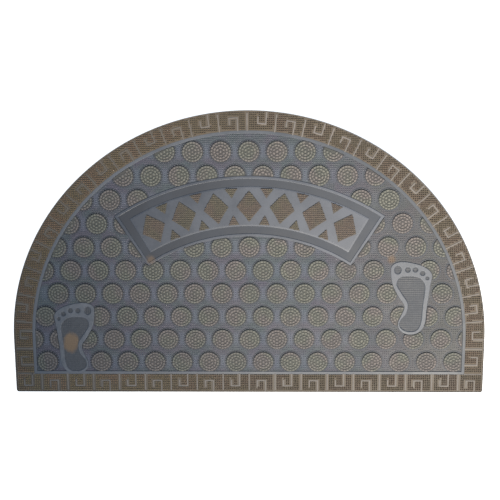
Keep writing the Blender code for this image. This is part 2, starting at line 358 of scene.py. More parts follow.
def makeKeyLines(rim, bottom, finish):
    points, faces, seen = [], [], 0
    for middles, place in [(m, placeOnRim) for m in rim] + [(m, placeOnBottom) for m in bottom]:
        madePoints, madeFaces = barsAlong(middles, place)
        points.append(madePoints)
        faces += [f + seen for f in madeFaces]
        seen += len(madePoints)
    piece = putMesh("keyLines", np.concatenate(points), faces, finish)
    weldAndTurn(piece, 0.000001)
    return piece


banner = {
    "x": 0.0025,
    "y": -0.0355,
    "inner": 0.2902,
    "outer": 0.3854,
    "halfAngle": math.radians(33.15),
    "ridge": 0.0048,
    "channel": 0.0114,
    "ridgeTop": 0.0054,
    "ridgeRound": [(0.0, 0.0007), (0.0003, 0.0002), (0.0009, 0.0)],
    "panelTop": 0.0051,
    "panelSoft": 0.0007,
    "panelRows": 24,
    "panelColumns": 120,
    "channelTop": 0.0046,
    "underRidge": 0.0008,     # the channel runs under the ridge and the panel
    "underPanel": 0.0010,
    "steps": 90,
    "endSteps": 16,
    "lozenges": 7,
    "pitch": 0.0515,
    "lozengeWidth": 0.0400,
    "lozengeLength": 0.0500,
    "halfWidth": 0.0180,
    "halfLength": 0.0150,
    "halfMargin": 0.0030,
    "plateShare": 0.97,       # plates are this much smaller than their lozenges
    "plateRoot": 0.0045,
    "plateTop": 0.0060,
    "plateSoft": 0.0003,
    "pinPitch": 0.0030,
    "pinShare": 0.47,         # pins stand where across / width + up / length is below this
    "halfPinShare": 0.95,
}
bannerMiddle = (banner["inner"] + banner["outer"]) / 2
# From the middle line to where the half lozenges start
halfStart = (banner["outer"] - banner["inner"]) / 2 - banner["ridge"] - banner["channel"]
halfStart -= banner["halfMargin"]


# A turn and a radius about the banner's centre, as x and y
def onBanner(turn, radius):
    x = banner["x"] + radius * np.sin(turn)
    y = banner["y"] + radius * np.cos(turn)
    return np.stack(np.broadcast_arrays(x, y), axis=-1)


def bannerLoop(inset):
    half = banner["halfAngle"] - inset / bannerMiddle
    turns = np.linspace(half, -half, banner["steps"])
    radii = np.linspace(banner["outer"] - inset, banner["inner"] + inset, banner["endSteps"])
    upper = onBanner(turns, banner["outer"] - inset)
    left = onBanner(-half, radii[1:-1])
    lower = onBanner(turns[::-1], banner["inner"] + inset)
    right = onBanner(half, radii[::-1][1:-1])
    return np.concatenate([upper, left, lower, right])


def makeBannerRidge(finish):
    profile = ribProfile(0.0, banner["ridge"], banner["ridgeTop"], banner["ridgeRound"])
    makeRing("bannerRidge", profile, bannerLoop, finish)


def makeBannerChannel(finish):
    start = banner["ridge"] - banner["underRidge"]
    end = banner["ridge"] + banner["channel"] + banner["underPanel"]
    low, top = matShape["rootHeight"], banner["channelTop"]
    makeRing("bannerChannel", [(start, low), (start, top), (end, top), (end, low)], bannerLoop, finish)


# A grid whose outer rows lie at the root, closed underneath by one face
def closedPlate(name, points, finish, smooth=True, tones=None):
    rows, columns = points.shape[:2]
    number = np.arange(rows * columns).reshape(rows, columns)
    quads = np.stack(
        [number[:-1, :-1], number[:-1, 1:], number[1:, 1:], number[1:, :-1]], axis=-1
    ).reshape(-1, 4)
    around = np.concatenate(
        [number[0, :-1], number[:-1, -1], number[-1, :0:-1], number[:0:-1, 0]]
    )
    return putMesh(name, points, [quads, around[None, ::-1]], finish, smooth, tones)


# Polar grid over the panel; its height falls off within a soft edge, then straight down
def makeBannerPanel(finish):
    inset = banner["ridge"] + banner["channel"]
    half = banner["halfAngle"] - inset / bannerMiddle
    low, high = banner["inner"] + inset, banner["outer"] - inset
    soft, rows, columns = banner["panelSoft"], banner["panelRows"], banner["panelColumns"]
    edge = np.array([0.0, 0.0, 0.25, 0.6, 1.0]) * soft
    fall = np.array([1.0, 0.35, 0.12, 0.03, 0.0])
    inner = np.linspace(soft, high - low - soft, rows)[1:-1]
    reach = np.concatenate([edge, inner, (high - low) - edge[::-1]])
    dropR = np.concatenate([fall, np.zeros(rows - 2), fall[::-1]])
    span = 2 * half * bannerMiddle
    along = np.concatenate([edge, np.linspace(soft, span - soft, columns)[1:-1], span - edge[::-1]])
    dropT = np.concatenate([fall, np.zeros(columns - 2), fall[::-1]])
    turns = along / bannerMiddle - half
    flat = onBanner(turns[None, :], (high - reach)[:, None])
    drop = np.maximum(dropR[:, None], dropT[None, :])
    height = banner["panelTop"] - drop * (banner["panelTop"] - matShape["rootHeight"])
    points = np.concatenate([flat, height[..., None]], axis=-1)
    piece = closedPlate("bannerPanel", points[:, ::-1], finish)
    weldAndTurn(piece, 0.000001)
    return piece


# Sections: height above the heel, big-toe side, little-toe side; the left foot is the mirror image
footprint = {
    "pad": [
        (0.0015, -0.007, 0.008),
        (0.0095, -0.018, 0.019),
        (0.022, -0.020, 0.024),
        (0.036, -0.014, 0.025),
        (0.048, -0.011, 0.026),
        (0.064, -0.021, 0.028),
        (0.082, -0.030, 0.030),
        (0.100, -0.033, 0.032),
        (0.1125, -0.032, 0.018),
        (0.119, -0.022, -0.006),
    ],
    "sole": [
        (0.0065, -0.006, 0.007),
        (0.013, -0.016, 0.014),
        (0.024, -0.016, 0.017),
        (0.036, -0.007, 0.018),
        (0.052, -0.005, 0.019),
        (0.068, -0.015, 0.021),
        (0.082, -0.023, 0.021),
        (0.092, -0.020, 0.014),
        (0.0955, -0.012, 0.004),
    ],
    "toes": [
        (-0.0220, 0.1062, 0.0110, 0.0135),
        (-0.0062, 0.1065, 0.0082, 0.0082),
        (0.0055, 0.1065, 0.0080, 0.0078),
        (0.0170, 0.1008, 0.0078, 0.0074),
        (0.0246, 0.0930, 0.0054, 0.0058),
    ],
    "right": (0.257, 0.0950),
    "left": (-0.277, 0.0287),
    "grid": 0.0005,
    "gridAcross": (-0.0370, 0.0370),
    "gridUp": (-0.0030, 0.1240),
    "rimEdge": (-0.0004, 0.0006),      # the rim rises over these distances inside its outline
    "hollowEdge": (-0.0003, 0.0005),
    "toeEdge": (0.86, 1.08),           # in half widths of a toe
    "top": 0.0056,
    "hollow": 0.00465,
    "ribPitch": 0.0030,
    "ribHeight": 0.00008,
}


# A closed loop through the sections, with three points added on the cubic between neighbours
def footLoop(sections):
    table = np.array(sections)
    littleSide = table[:, [2, 0]]
    bigSide = table[::-1][:, [1, 0]]
    loop = np.concatenate([littleSide, bigSide])
    before, after, beyond = np.roll(loop, 1, 0), np.roll(loop, -1, 0), np.roll(loop, -2, 0)
    made = []
    for t in (0.0, 0.25, 0.5, 0.75):
        weights = (
            (-0.5 * t + t * t - 0.5 * t**3),
            (1 - 2.5 * t * t + 1.5 * t**3),
            (0.5 * t + 2 * t * t - 1.5 * t**3),
            (-0.5 * t * t + 0.5 * t**3),
        )
        made.append(weights[0] * before + weights[1] * loop + weights[2] * after + weights[3] * beyond)
    return np.stack(made, axis=1).reshape(-1, 2)


# Distance to a closed loop, positive inside: least distance to its sides, sign by crossings
def insideDistance(points, loop):
    start, end = loop, np.roll(loop, -1, axis=0)
    flat = points.reshape(-1, 2)
    side = end - start
    found = np.empty(len(flat))
    for begin in range(0, len(flat), 20000):
        part = flat[begin : begin + 20000, None, :]
        gap = part - start
        share = np.clip((gap * side).sum(-1) / (side * side).sum(-1), 0, 1)
        least = np.linalg.norm(gap - share[..., None] * side, axis=-1).min(axis=1)
        rise = (start[:, 1] > part[..., 1]) != (end[:, 1] > part[..., 1])
        run = np.where(side[:, 1] == 0, 1e-12, side[:, 1])
        crossX = start[:, 0] + (part[..., 1] - start[:, 1]) / run * side[:, 0]
        crossings = (rise & (part[..., 0] < crossX)).sum(axis=1)
        found[begin : begin + 20000] = np.where(crossings % 2 == 1, least, -least)
    return found.reshape(points.shape[:-1])


def smoothStep(value, low, high):
    share = np.clip((value - low) / (high - low), 0, 1)
    return share * share * (3 - 2 * share)


padLoop = footLoop(footprint["pad"])
soleLoop = footLoop(footprint["sole"])


# Points of the mat as seen from a foot's own heel, big toe to the left
def footFrame(points, side):
    centre = footprint["right"] if side > 0 else footprint["left"]
    return np.stack([(points[..., 0] - centre[0]) * side, points[..., 1] - centre[1]], axis=-1)


# Height = root + rim inside the outline - hollow inside the sole and toes, plus fine ribs there
def makeFootprint(name, side, finish):
    shape = footprint
    step = shape["grid"]
    across = np.arange(*shape["gridAcross"], step)
    up = np.arange(*shape["gridUp"], step)
    grid = np.stack(np.meshgrid(across, up), axis=-1)
    rim = smoothStep(insideDistance(grid, padLoop), *shape["rimEdge"])
    hollow = smoothStep(insideDistance(grid, soleLoop), *shape["hollowEdge"])
    for toeX, toeY, wide, long in shape["toes"]:
        reach = np.hypot((grid[..., 0] - toeX) / wide * 2, (grid[..., 1] - toeY) / long * 2)
        hollow = np.maximum(hollow, 1 - smoothStep(reach, *shape["toeEdge"]))
    ribs = np.cos(2 * math.pi * grid[..., 0] / shape["ribPitch"])
    ribs = ribs + np.cos(2 * math.pi * grid[..., 1] / shape["ribPitch"])
    root = matShape["rootHeight"]
    height = root + rim * (shape["top"] - root)
    height = height - hollow * (shape["top"] - shape["hollow"]) + hollow * ribs * shape["ribHeight"]
    height[[0, -1]] = root
    height[:, [0, -1]] = root
    centre = shape["right"] if side > 0 else shape["left"]
    points = np.stack([centre[0] + side * grid[..., 0], centre[1] + grid[..., 1], height], axis=-1)
    if side < 0:
        points, hollow = points[:, ::-1], hollow[:, ::-1]
    return closedPlate(name, points, finish, True, hollow.reshape(-1))


roundPads = {
    "diameter": 0.0322,
    "pitch": 0.0433,
    "row": 0.0374,
    "shift": 0.0024,
    "firstRow": 0.0510,
    "rows": 11,
    "rings": [(0.0000, 1, 0.0), (0.0054, 6, 31.0), (0.0098, 13, -8.3), (0.0141, 19, 4.6)],
    "plateTop": 0.0060,
    "plateSides": 60,
    "moat": 0.0188,           # painted shade: a dark ring round every pad, out to this radius
    "moatShadeTop": 0.0046,
    "least": 0.0032,          # no pad where a strip or a footprint leaves less than this
    "gap": 0.0002,            # between a cut pad and what cuts it
    "raySteps": 120,
    "pinMargin": 0.0016,
    "pinStretch": 1.45,       # pins are longer along their ring than across it
}
pinShapes = {
    "pad": {"sides": 7, "profile": [(0.00185, 0.0050), (0.00165, 0.0066), (0.00125, 0.0070)]},
    "border": {"sides": 6, "profile": [(0.00140, 0.0040), (0.00125, 0.0066), (0.00095, 0.0070)]},
    "ground": {"sides": 5, "profile": [(0.00125, 0.0035), (0.00085, 0.0053)]},
    "lozenge": {"sides": 6, "profile": [(0.00140, 0.0050), (0.00125, 0.0066), (0.00095, 0.0070)]},
}


def padLattice():
    columns = np.arange(-11, 12)
    rows = np.arange(-1, roundPads["rows"] + 1)
    half = np.where(rows % 2 == 0, 0.5, 0.0)
    x = roundPads["shift"] + roundPads["pitch"] * (columns[None, :] + half[:, None])
    y = np.broadcast_to((roundPads["firstRow"] + roundPads["row"] * rows)[:, None], x.shape)
    return np.stack([x, y], axis=-1).reshape(-1, 2)


# The rim table's nearest point to each point and how far away it is, a block of points at a time
def nearestOnRim(points, block=4000):
    nearest = np.empty(len(points), dtype=int)
    away = np.empty(len(points))
    for begin in range(0, len(points), block):
        part = slice(begin, begin + block)
        gap = np.linalg.norm(points[part, None, :] - fineRim[::coarse], axis=-1)
        nearest[part] = gap.argmin(axis=1)
        away[part] = gap.min(axis=1)
    return nearest, away


# Depth inside the rim and the straight edge, positive inside: by the table, then the straight sides
def fieldDepth(points, rimInset, bottomInset):
    nearest, away = nearestOnRim(points)
    across = matShape["width"] / 2
    up = matShape["depth"] - matShape["sideHeight"]
    high = np.maximum(points[:, 1] - matShape["sideHeight"], 0)
    within = (points[:, 0] / across) ** 2 + (high / up) ** 2 < 1
    rim = np.where(within, away, -away)
    side = across - np.abs(points[:, 0])
    depth = np.where(points[:, 1] > matShape["sideHeight"], rim, side)
    return np.minimum(depth - rimInset, points[:, 1] - bottomInset)


# Distance in from the banner's outline, positive inside
def bannerDepth(points):
    offset = points - np.array([banner["x"], banner["y"]])
    radius = np.hypot(offset[:, 0], offset[:, 1])
    turn = np.abs(np.arctan2(offset[:, 0], offset[:, 1]))
    across = np.minimum(radius - banner["inner"], banner["outer"] - radius)
    return np.minimum(across, (banner["halfAngle"] - turn) * bannerMiddle)


def footDepth(points):
    rightSide = insideDistance(footFrame(points, 1), padLoop)
    leftSide = insideDistance(footFrame(points, -1), padLoop)
    return np.maximum(rightSide, leftSide)


# How far a point of the ground lies from strips, banner and footprints, kept on a 2 mm table
tableStep = 0.002
tableX = np.arange(-0.380, 0.3801, tableStep)
tableY = np.arange(-0.010, 0.4601, tableStep)


def makeGroundTable():
    points = np.stack(np.meshgrid(tableX, tableY), axis=-1).reshape(-1, 2)
    rim = matShape["bandRim"] + matShape["stripWidth"]
    bottom = matShape["bandBottom"] + matShape["stripWidth"]
    depth = np.minimum(fieldDepth(points, rim, bottom), -bannerDepth(points))
    return np.minimum(depth, -footDepth(points)).reshape(len(tableY), len(tableX))


groundTable = makeGroundTable()


# Between four table values by the usual share across and up
def groundDepth(points):
    x = np.clip((points[..., 0] - tableX[0]) / tableStep, 0, len(tableX) - 1.001)
    y = np.clip((points[..., 1] - tableY[0]) / tableStep, 0, len(tableY) - 1.001)
    column, row = x.astype(int), y.astype(int)
    x, y = x - column, y - row
    lower = groundTable[row, column] * (1 - x) + groundTable[row, column + 1] * x
    upper = groundTable[row + 1, column] * (1 - x) + groundTable[row + 1, column + 1] * x
    return lower * (1 - y) + upper * y


# Flat tops with a soft edge, one for every closed outline: (plates, sides, 2) about their middles
def platesFrom(name, outlines, middles, root, top, soft, finish):
    count, sides = outlines.shape[:2]
    inward = middles[:, None, :] - outlines
    inward /= np.maximum(np.linalg.norm(inward, axis=-1, keepdims=True), 0.0005)
    rings = [(0.0, root), (0.0, top - soft), (soft * 0.3, top - soft * 0.3), (soft, top)]
    loops = [
        np.concatenate([outlines + inward * inset, np.full((count, sides, 1), height)], axis=-1)
        for inset, height in rings
    ]
    points = np.stack(loops, axis=1).reshape(-1, 3)
    tones = np.repeat(randomPins.uniform(0, 1, count), len(rings) * sides)
    return putMesh(name, points, ringFaces(count, len(rings), sides), finish, False, tones)


# The pads that show, and for each its point that lies deepest inside what shows
def shownPads(lattice):
    radius = roundPads["diameter"] / 2
    spread = np.linspace(-radius, radius, 17)
    tries = np.stack(np.meshgrid(spread, spread), axis=-1).reshape(-1, 2)
    near = lattice[:, None, :] + tries[None]
    room = np.minimum(groundDepth(near), radius - np.linalg.norm(tries, axis=-1)[None])
    best = room.argmax(axis=1)
    kept = room.max(axis=1) > roundPads["least"]
    return lattice[kept], near[np.arange(len(near)), best][kept]


# Discs cut where the ground ends: from each deepest point, rays run to the nearer of both edges
def makeDiscs(name, lattice, middles, radius, top, soft, finish):
    sides = roundPads["plateSides"]
    turn = 2 * math.pi * np.arange(sides) / sides
    ray = np.stack([np.cos(turn), np.sin(turn)], axis=-1)
    reach = np.linspace(0, 2 * radius, roundPads["raySteps"])
    along = middles[:, None, None, :] + ray[None, :, None, :] * reach[None, None, :, None]
    fromCentre = np.linalg.norm(along - lattice[:, None, None, :], axis=-1)
    depth = np.minimum(groundDepth(along) - roundPads["gap"], radius - fromCentre)
    first = (depth < 0).argmax(axis=-1)
    picked = np.take_along_axis(depth, first[..., None], -1)[..., 0]
    before = np.take_along_axis(depth, first[..., None] - 1, -1)[..., 0]
    length = reach[first] - (reach[1] - reach[0]) * picked / (picked - before)
    outlines = middles[:, None, :] + ray[None] * length[..., None]
    return platesFrom(name, outlines, middles, matShape["rootHeight"], top, soft, finish)


def padPins(lattice):
    rings = []
    for radius, count, first in roundPads["rings"]:
        turn = math.radians(first) + 2 * math.pi * np.arange(count) / count
        rings.append(np.stack([radius * np.cos(turn), radius * np.sin(turn)], axis=-1))
    ring = np.concatenate(rings)
    pins = (lattice[:, None, :] + ring[None]).reshape(-1, 2)
    along = np.tile(np.arctan2(ring[:, 1], ring[:, 0]) + math.pi / 2, len(lattice))
    shown = groundDepth(pins) > roundPads["pinMargin"]
    return pins[shown], along[shown]


groundPins = {"pitch": 0.0030, "moat": 0.0200, "margin": 0.0012, "ring": 0.0174, "ringCount": 26}


def squareGrid(pitch):
    x = np.arange(-matShape["width"] / 2, matShape["width"] / 2, pitch) + pitch / 2
    y = np.arange(0.0, matShape["depth"], pitch) + pitch / 2
    return np.stack(np.meshgrid(x, y), axis=-1).reshape(-1, 2)


def lowPins(lattice):
    pins = squareGrid(groundPins["pitch"])
    pins = pins[groundDepth(pins) > groundPins["margin"]]
    away = np.linalg.norm(pins[:, None] - lattice[None], axis=-1).min(axis=1)
    turn = 2 * math.pi * np.arange(groundPins["ringCount"]) / groundPins["ringCount"]
    ring = groundPins["ring"] * np.stack([np.cos(turn), np.sin(turn)], axis=-1)
    ring = (lattice[:, None, :] + ring[None]).reshape(-1, 2)
    ring = ring[groundDepth(ring) > groundPins["margin"]]
    return np.concatenate([pins[away > groundPins["moat"]], ring])


# Least distance from each point to any of the middle lines
def toLine(points, middles):
    least = np.full(len(points), 1.0)
    for j in range(middles.shape[1] - 1):
        start, end = middles[:, j], middles[:, j + 1]
        side = end - start
        gap = points[:, None, :] - start
        share = np.clip((gap * side).sum(-1) / (side * side).sum(-1), 0, 1)
        away = np.linalg.norm(gap - share[..., None] * side, axis=-1)
        least = np.minimum(least, away.min(axis=1))
    return least


borderPins = {"pitch": 0.0030, "fromEdge": 0.0024, "fromStrip": 0.0010, "fromLine": 0.0025}


def borderField(rim, bottom):
    points = squareGrid(borderPins["pitch"])
    outer = fieldDepth(points, 0.0, 0.0)
    inner = fieldDepth(points, matShape["bandRim"], matShape["bandBottom"])
    points = points[(outer > borderPins["fromEdge"]) & (inner < -borderPins["fromStrip"])]
    low = points[:, 1] < matShape["bandBottom"] - borderPins["fromStrip"]
    bottomPoints, rimPoints = points[low], points[~low]
    marks = np.stack([keyPattern["bottomStart"] - bottomPoints[:, 0], bottomPoints[:, 1]], axis=-1)
    for middles in bottom:
        clear = toLine(marks, middles) > borderPins["fromLine"]
        bottomPoints, marks = bottomPoints[clear], marks[clear]
    marks = alongRim(rimPoints)
    for middles in rim:
        clear = toLine(marks, middles) > borderPins["fromLine"]
        rimPoints, marks = rimPoints[clear], marks[clear]
    return bottomPoints, rimPoints


# The other way round from placeOnRim: the nearest of the table's points gives the distance along
def alongRim(points):
    side = matShape["sideHeight"]
    nearest, away = nearestOnRim(points)
    along = side + fineLengths[::coarse][nearest]
    low = points[:, 1] < side
    right = points[:, 0] > 0
    along = np.where(low & right, points[:, 1], np.where(low, rimLength - points[:, 1], along))
    away = np.where(low, matShape["width"] / 2 - np.abs(points[:, 0]), away)
    return np.stack([along, away], axis=-1)


# Pins inside the lozenges and the half lozenges between them
def lozengeField():
    step = banner["pinPitch"]
    grid = np.meshgrid(np.arange(-0.20, 0.20, step), np.arange(0.20, 0.36, step))
    offset = np.stack(grid, axis=-1).reshape(-1, 2)
    away = offset - np.array([banner["x"], banner["y"]])
    radius = np.hypot(away[:, 0], away[:, 1])
    turn = np.arctan2(away[:, 0], away[:, 1])
    inside = np.zeros(len(offset), dtype=bool)
    count, pitch = banner["lozenges"], banner["pitch"] / bannerMiddle
    for i in range(count):
        here = pitch * (i - (count - 1) / 2)
        across = np.abs(turn - here) * bannerMiddle
        up = np.abs(radius - bannerMiddle)
        inside |= across / banner["lozengeWidth"] + up / banner["lozengeLength"] < banner["pinShare"]
        if i < count - 1:
            across = np.abs(turn - here - pitch / 2) * bannerMiddle
            up = halfStart - up
            share = across / banner["halfWidth"] * 2 + up / banner["halfLength"]
            inside |= (up > 0) & (share < banner["halfPinShare"])
    return offset[inside]


# Corners joined by straight sides; (across, up) from the banner's middle line
def outlineOf(corners, stepsEach=10):
    corners = np.array(corners)
    after = np.roll(corners, -1, axis=0)
    share = (np.arange(stepsEach) / stepsEach)[None, :, None]
    return (corners[:, None] * (1 - share) + after[:, None] * share).reshape(-1, 2)


def makeLozengePlates(finish):
    wide = banner["lozengeWidth"] / 2 * banner["plateShare"]
    long = banner["lozengeLength"] / 2 * banner["plateShare"]
    halfWide, halfLong = banner["halfWidth"] / 2, banner["halfLength"]
    whole = outlineOf([(wide, 0), (0, long), (-wide, 0), (0, -long)], 12)
    upper = outlineOf([(halfWide, halfStart), (-halfWide, halfStart), (0, halfStart - halfLong)], 16)
    lower = upper[::-1] * (1, -1)
    count, pitch = banner["lozenges"], banner["pitch"]
    places = pitch * (np.arange(count) - (count - 1) / 2)
    between = (places[:-1] + places[1:]) / 2
    shapes, middles = [], []
    for outline, where, height in ((whole, places, 0), (upper, between, 1), (lower, between, -1)):
        shapes.append(outline[None] + where[:, None, None] * (1, 0))
        middle = (halfStart - halfLong * 0.35) * height
        middles.append(np.stack([where, np.full(len(where), middle)], axis=-1))
    flat, middle = np.concatenate(shapes), np.concatenate(middles)
    outlines = onBanner(flat[..., 0] / bannerMiddle, bannerMiddle + flat[..., 1])[:, ::-1]
    centres = onBanner(middle[:, 0] / bannerMiddle, bannerMiddle + middle[:, 1])
    root, top, soft = banner["plateRoot"], banner["plateTop"], banner["plateSoft"]
    platesFrom("lozengePlates", outlines, centres, root, top, soft, finish)


# Turned by the angle t: x cos t - y sin t, x sin t + y cos t
def turned(x, y, angle):
    return x * np.cos(angle) - y * np.sin(angle), x * np.sin(angle) + y * np.cos(angle)


pinWear = {
    "sizeSpread": 0.05,
    "sizeLimits": (0.88, 1.12),
    "leanSpread": 0.00010,
    "leanLimits": (-0.0002, 0.0002),
    "wearSpread": 0.00010,
    "wearLimits": (0, 0.0003),
}


# Ring k of a pin lies at its own radius and height; each pin leans and wears a little by itself
def makePins(name, places, kind, finish, along=None, stretch=1.0):
    shape = pinShapes[kind]
    sides, profile = shape["sides"], np.array(shape["profile"])
    count, rings = len(places), len(profile)
    turn = 2 * math.pi * np.arange(sides) / sides
    spin = randomPins.uniform(0, 2 * math.pi, count)
    size = randomPins.normal(1.0, pinWear["sizeSpread"], count).clip(*pinWear["sizeLimits"])
    lean = randomPins.normal(0, pinWear["leanSpread"], (count, 2)).clip(*pinWear["leanLimits"])
    wear = np.abs(randomPins.normal(0, pinWear["wearSpread"], count)).clip(*pinWear["wearLimits"])
    rise = (profile[:, 1] - profile[0, 1]) / (profile[-1, 1] - profile[0, 1])
    angle = turn[None, None, :] + spin[:, None, None]
    radius = profile[None, :, 0, None] * size[:, None, None]
    x = radius * np.cos(angle)
    y = radius * np.sin(angle)
    if along is not None:
        x, y = turned(stretch * x, y, along[:, None, None])
    x = x + places[:, 0, None, None] + lean[:, 0, None, None] * rise[None, :, None]
    y = y + places[:, 1, None, None] + lean[:, 1, None, None] * rise[None, :, None]
    z = profile[None, :, 1, None] - wear[:, None, None] * rise[None, :, None] + 0 * angle
    points = np.stack(np.broadcast_arrays(x, y, z), axis=-1).reshape(-1, 3)
    tones = np.repeat(randomPins.uniform(0, 1, count), rings * sides)
    return putMesh(name, points, ringFaces(count, rings, sides), finish, True, tones)


# A socket that can be added, multiplied and so on; each sign makes one Math node
class Wire:
    def __init__(self, finish, socket):
        self.finish = finish
        self.socket = socket

    def join(self, operation, first, second):
        made = self.finish.node("ShaderNodeMath", {"operation": operation}, {0: first, 1: second})
        return Wire(self.finish, made.outputs[0])

    def __add__(self, other):
        return self.join("ADD", self, other)

    def __radd__(self, other):
        return self.join("ADD", other, self)

    def __sub__(self, other):
        return self.join("SUBTRACT", self, other)

    def __rsub__(self, other):
        return self.join("SUBTRACT", other, self)

    def __mul__(self, other):
        return self.join("MULTIPLY", self, other)

    def __rmul__(self, other):
        return self.join("MULTIPLY", other, self)

    def __truediv__(self, other):
        return self.join("DIVIDE", self, other)

    def __pow__(self, other):
        return self.join("POWER", self, other)

    def cosine(self):
        return self.join("COSINE", self, 0.0)


class Finish:
    def __init__(self, name):
        self.material = bpy.data.materials.new(name)
        self.material.use_nodes = True
        self.nodes = self.material.node_tree.nodes
        self.links = self.material.node_tree.links
        self.shader = self.nodes["Principled BSDF"]
        self.place = self.node("ShaderNodeTexCoord").outputs["Object"]

    def node(self, kind, settings=None, values=None):
        made = self.nodes.new(kind)
        for key, value in (settings or {}).items():
            setattr(made, key, value)
        for key, value in (values or {}).items():
            self.plug(made.inputs[key], value)
        return made

    def plug(self, socket, value):
        if isinstance(value, Wire):
            self.links.new(value.socket, socket)
        elif isinstance(value, bpy.types.NodeSocket):
            self.links.new(value, socket)
        else:
            socket.default_value = value

    # grains counts the grains in a metre
    def noise(self, grains, detail=2.0, rough=0.5):
        values = {"Vector": self.place, "Scale": grains, "Detail": detail, "Roughness": rough}
        return Wire(self, self.node("ShaderNodeTexNoise", None, values).outputs["Fac"])

    def attribute(self, name):
        made = self.node("ShaderNodeAttribute", {"attribute_name": name})
        return Wire(self, made.outputs["Fac"])

    def axes(self):
        made = self.node("ShaderNodeSeparateXYZ", None, {0: self.place})
        return [Wire(self, made.outputs[i]) for i in range(3)]

    # 0 below low, 1 above high, eased between
    def step(self, value, low, high):
        values = {"Value": value, "From Min": low, "From Max": high, "To Min": 0.0, "To Max": 1.0}
        made = self.node("ShaderNodeMapRange", {"interpolation_type": "SMOOTHSTEP"}, values)
        return Wire(self, made.outputs["Result"])

    def mix(self, share, first, second, blend="MIX"):
        values = {0: share, 6: first, 7: second}
        made = self.node("ShaderNodeMix", {"data_type": "RGBA", "blend_type": blend}, values)
        return made.outputs[2]

    # Two casts that take turns over some centimetres
    def castOver(self, tint, casts, grains=30.0):
        share = self.step(self.noise(grains, 1.0), 0.38, 0.62)
        return self.mix(1.0, tint, self.mix(share, *casts), "MULTIPLY")

    # -1 half-way between two pads of a row: -cos(2 pi x / pitch) cos(pi y / row)
    def padWave(self):
        x, y = self.axes()[:2]
        across = (x - roundPads["shift"]) * (2 * math.pi / roundPads["pitch"])
        up = (y + matShape["depth"] / 2 - roundPads["firstRow"]) * (math.pi / roundPads["row"])
        return -1 * across.cosine() * up.cosine()

    # Small rust spots: reach is the distance from a spot over its radius, frayed by noise
    def spotted(self, tint):
        x, y = self.axes()[:2]
        fray = (self.noise(220.0, 2.0) - 0.5) * 0.9
        for spotX, spotY, radius, share in rustSpots:
            across, up = (x - spotX) / radius, (y - spotY) / radius
            reach = (across * across + up * up) ** 0.5 + fray
            tint = self.mix((1 - self.step(reach, 0.4, 1.1)) * share, tint, rust)
        return tint

    # Rough and bumpy from one grain height; the rest of the shader stays as set
    def wrap(self, tint, rough, height, depth, strength=1.0):
        self.plug(self.shader.inputs["Base Color"], self.spotted(tint))
        self.plug(self.shader.inputs["Roughness"], rough)
        values = {"Strength": strength, "Distance": depth, "Height": height}
        bump = self.node("ShaderNodeBump", None, values)
        self.plug(self.shader.inputs["Normal"], bump.outputs["Normal"])
        return self.material


def colour(red, green, blue):
    return (red, green, blue, 1.0)


rust = colour(0.150, 0.093, 0.050)
rustSpots = [
    (-0.1525, -0.0075, 0.0085, 0.55),   # x, y, radius and strength, beside the banner's corner
    (0.2250, -0.0070, 0.0080, 0.65),    # above the right footprint
]

faintCasts = (colour(1.05, 0.97, 0.99), colour(0.97, 1.02, 0.93))   # pink and olive

stripRubber = {
    "clean": colour(0.060, 0.066, 0.077),
    "dusty": colour(0.102, 0.107, 0.120),
    "rough": 0.38,
}
bannerRubber = {
    "clean": colour(0.044, 0.050, 0.064),
    "dusty": colour(0.090, 0.096, 0.113),
    "rough": 0.38,
}
paleRubber = {
    "clean": colour(0.132, 0.113, 0.097),
    "dusty": colour(0.205, 0.177, 0.154),
    "rough": 0.45,
}
darkRubber = {
    "clean": colour(0.022, 0.025, 0.033),
    "dusty": colour(0.046, 0.051, 0.062),
    "rough": 0.50,
}


# lean is painted light and shade: it lightens the rubber by place, its two values count for x and y
# Moulded rubber: dusty clouds, fine mottling and a dull fine grain
def plainRubber(name, looks, paint=None, lean=(0.0, 0.0)):
    finish = Finish(name)
    clouds = finish.step(finish.noise(14.0, 4.0, 0.6), 0.35, 0.68)
    mottle = finish.noise(420.0, 2.0)
    share = clouds * 0.7 + mottle * 0.5 - 0.1
    x, y = finish.axes()[:2]
    # Painted light and shade: lean lightens the rubber by place
    tint = finish.mix(share + lean[0] * x + lean[1] * y, looks["clean"], looks["dusty"])
    # Painted shade: towards the upper left the lines turn darker and brown, where little sheen falls
    if paint:
        upperLeft = y * 0.9 - x + (finish.noise(20.0, 2.0) - 0.5) * 0.15
        tint = finish.mix(finish.step(upperLeft, 0.12, 0.34) * 0.75, tint, paint)
    grain = finish.noise(2600.0, 2.0)
    scuff = finish.noise(60.0, 3.0, 0.6)
    rough = looks["rough"] + 0.14 * clouds + 0.10 * scuff
    return finish.wrap(tint, rough, grain * 0.4 + scuff * 0.6, 0.00008, 0.6)


sheetColours = {
    "ground": (colour(0.040, 0.044, 0.051), colour(0.070, 0.076, 0.086)),
    "groundCasts": (colour(1.13, 0.94, 1.12), colour(0.88, 1.02, 0.99)),
    "glintBetweenPads": colour(0.084, 0.096, 0.124),
    "rightLightTint": colour(0.058, 0.056, 0.056),
    "border": (colour(0.078, 0.060, 0.041), colour(0.122, 0.094, 0.066)),
    "lipHighlight": colour(0.095, 0.086, 0.077),
}


